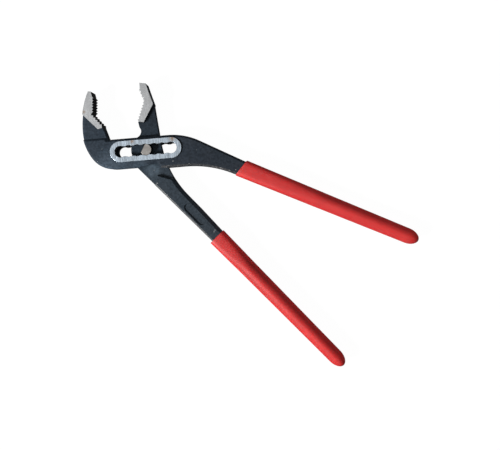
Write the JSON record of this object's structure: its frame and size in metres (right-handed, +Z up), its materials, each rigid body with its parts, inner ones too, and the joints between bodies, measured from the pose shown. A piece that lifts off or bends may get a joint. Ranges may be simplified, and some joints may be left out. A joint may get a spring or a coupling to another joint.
{
  "type": "water-pump pliers",
  "caption": "Box-joint water-pump pliers: a toothed through jaw slides and turns on a half-moon pin in a scalloped slot; painted forgings with dipped plastic grips.",
  "frame": {"origin": "on the pivot pin's axis with the pin in the slot's middle notch, in the plane that the lower ground rim rests on", "axes": "+X along the slot towards the handles, +Y towards the jaw tips, +Z up along the pin's axis, with the tool lying flat"},
  "size_m": [0.2344, 0.2151, 0.015],
  "materials": {
    "painted_forging": "satin",
    "pin_steel": "satin",
    "dipped_grip": "semi-gloss"
  },
  "bodies": {
    "outer": {"outer_handle": "painted_forging", "outer_grip": "dipped_grip"},
    "pin": {"pivot_pin": "pin_steel"},
    "inner": {"inner_handle": "painted_forging", "inner_grip": "dipped_grip"}
  },
  "joints": [
    {"name": "slot_slide", "type": "slide", "parent": "outer", "child": "pin", "axis": [1, 0, 0], "range_m": [-0.018, 0.018]},
    {"name": "pin_hinge", "type": "hinge", "parent": "pin", "child": "inner", "pos_m": [0, 0, 0.0075], "axis": [0, 0, 1], "range_deg": [-50, 19]}
  ]
}
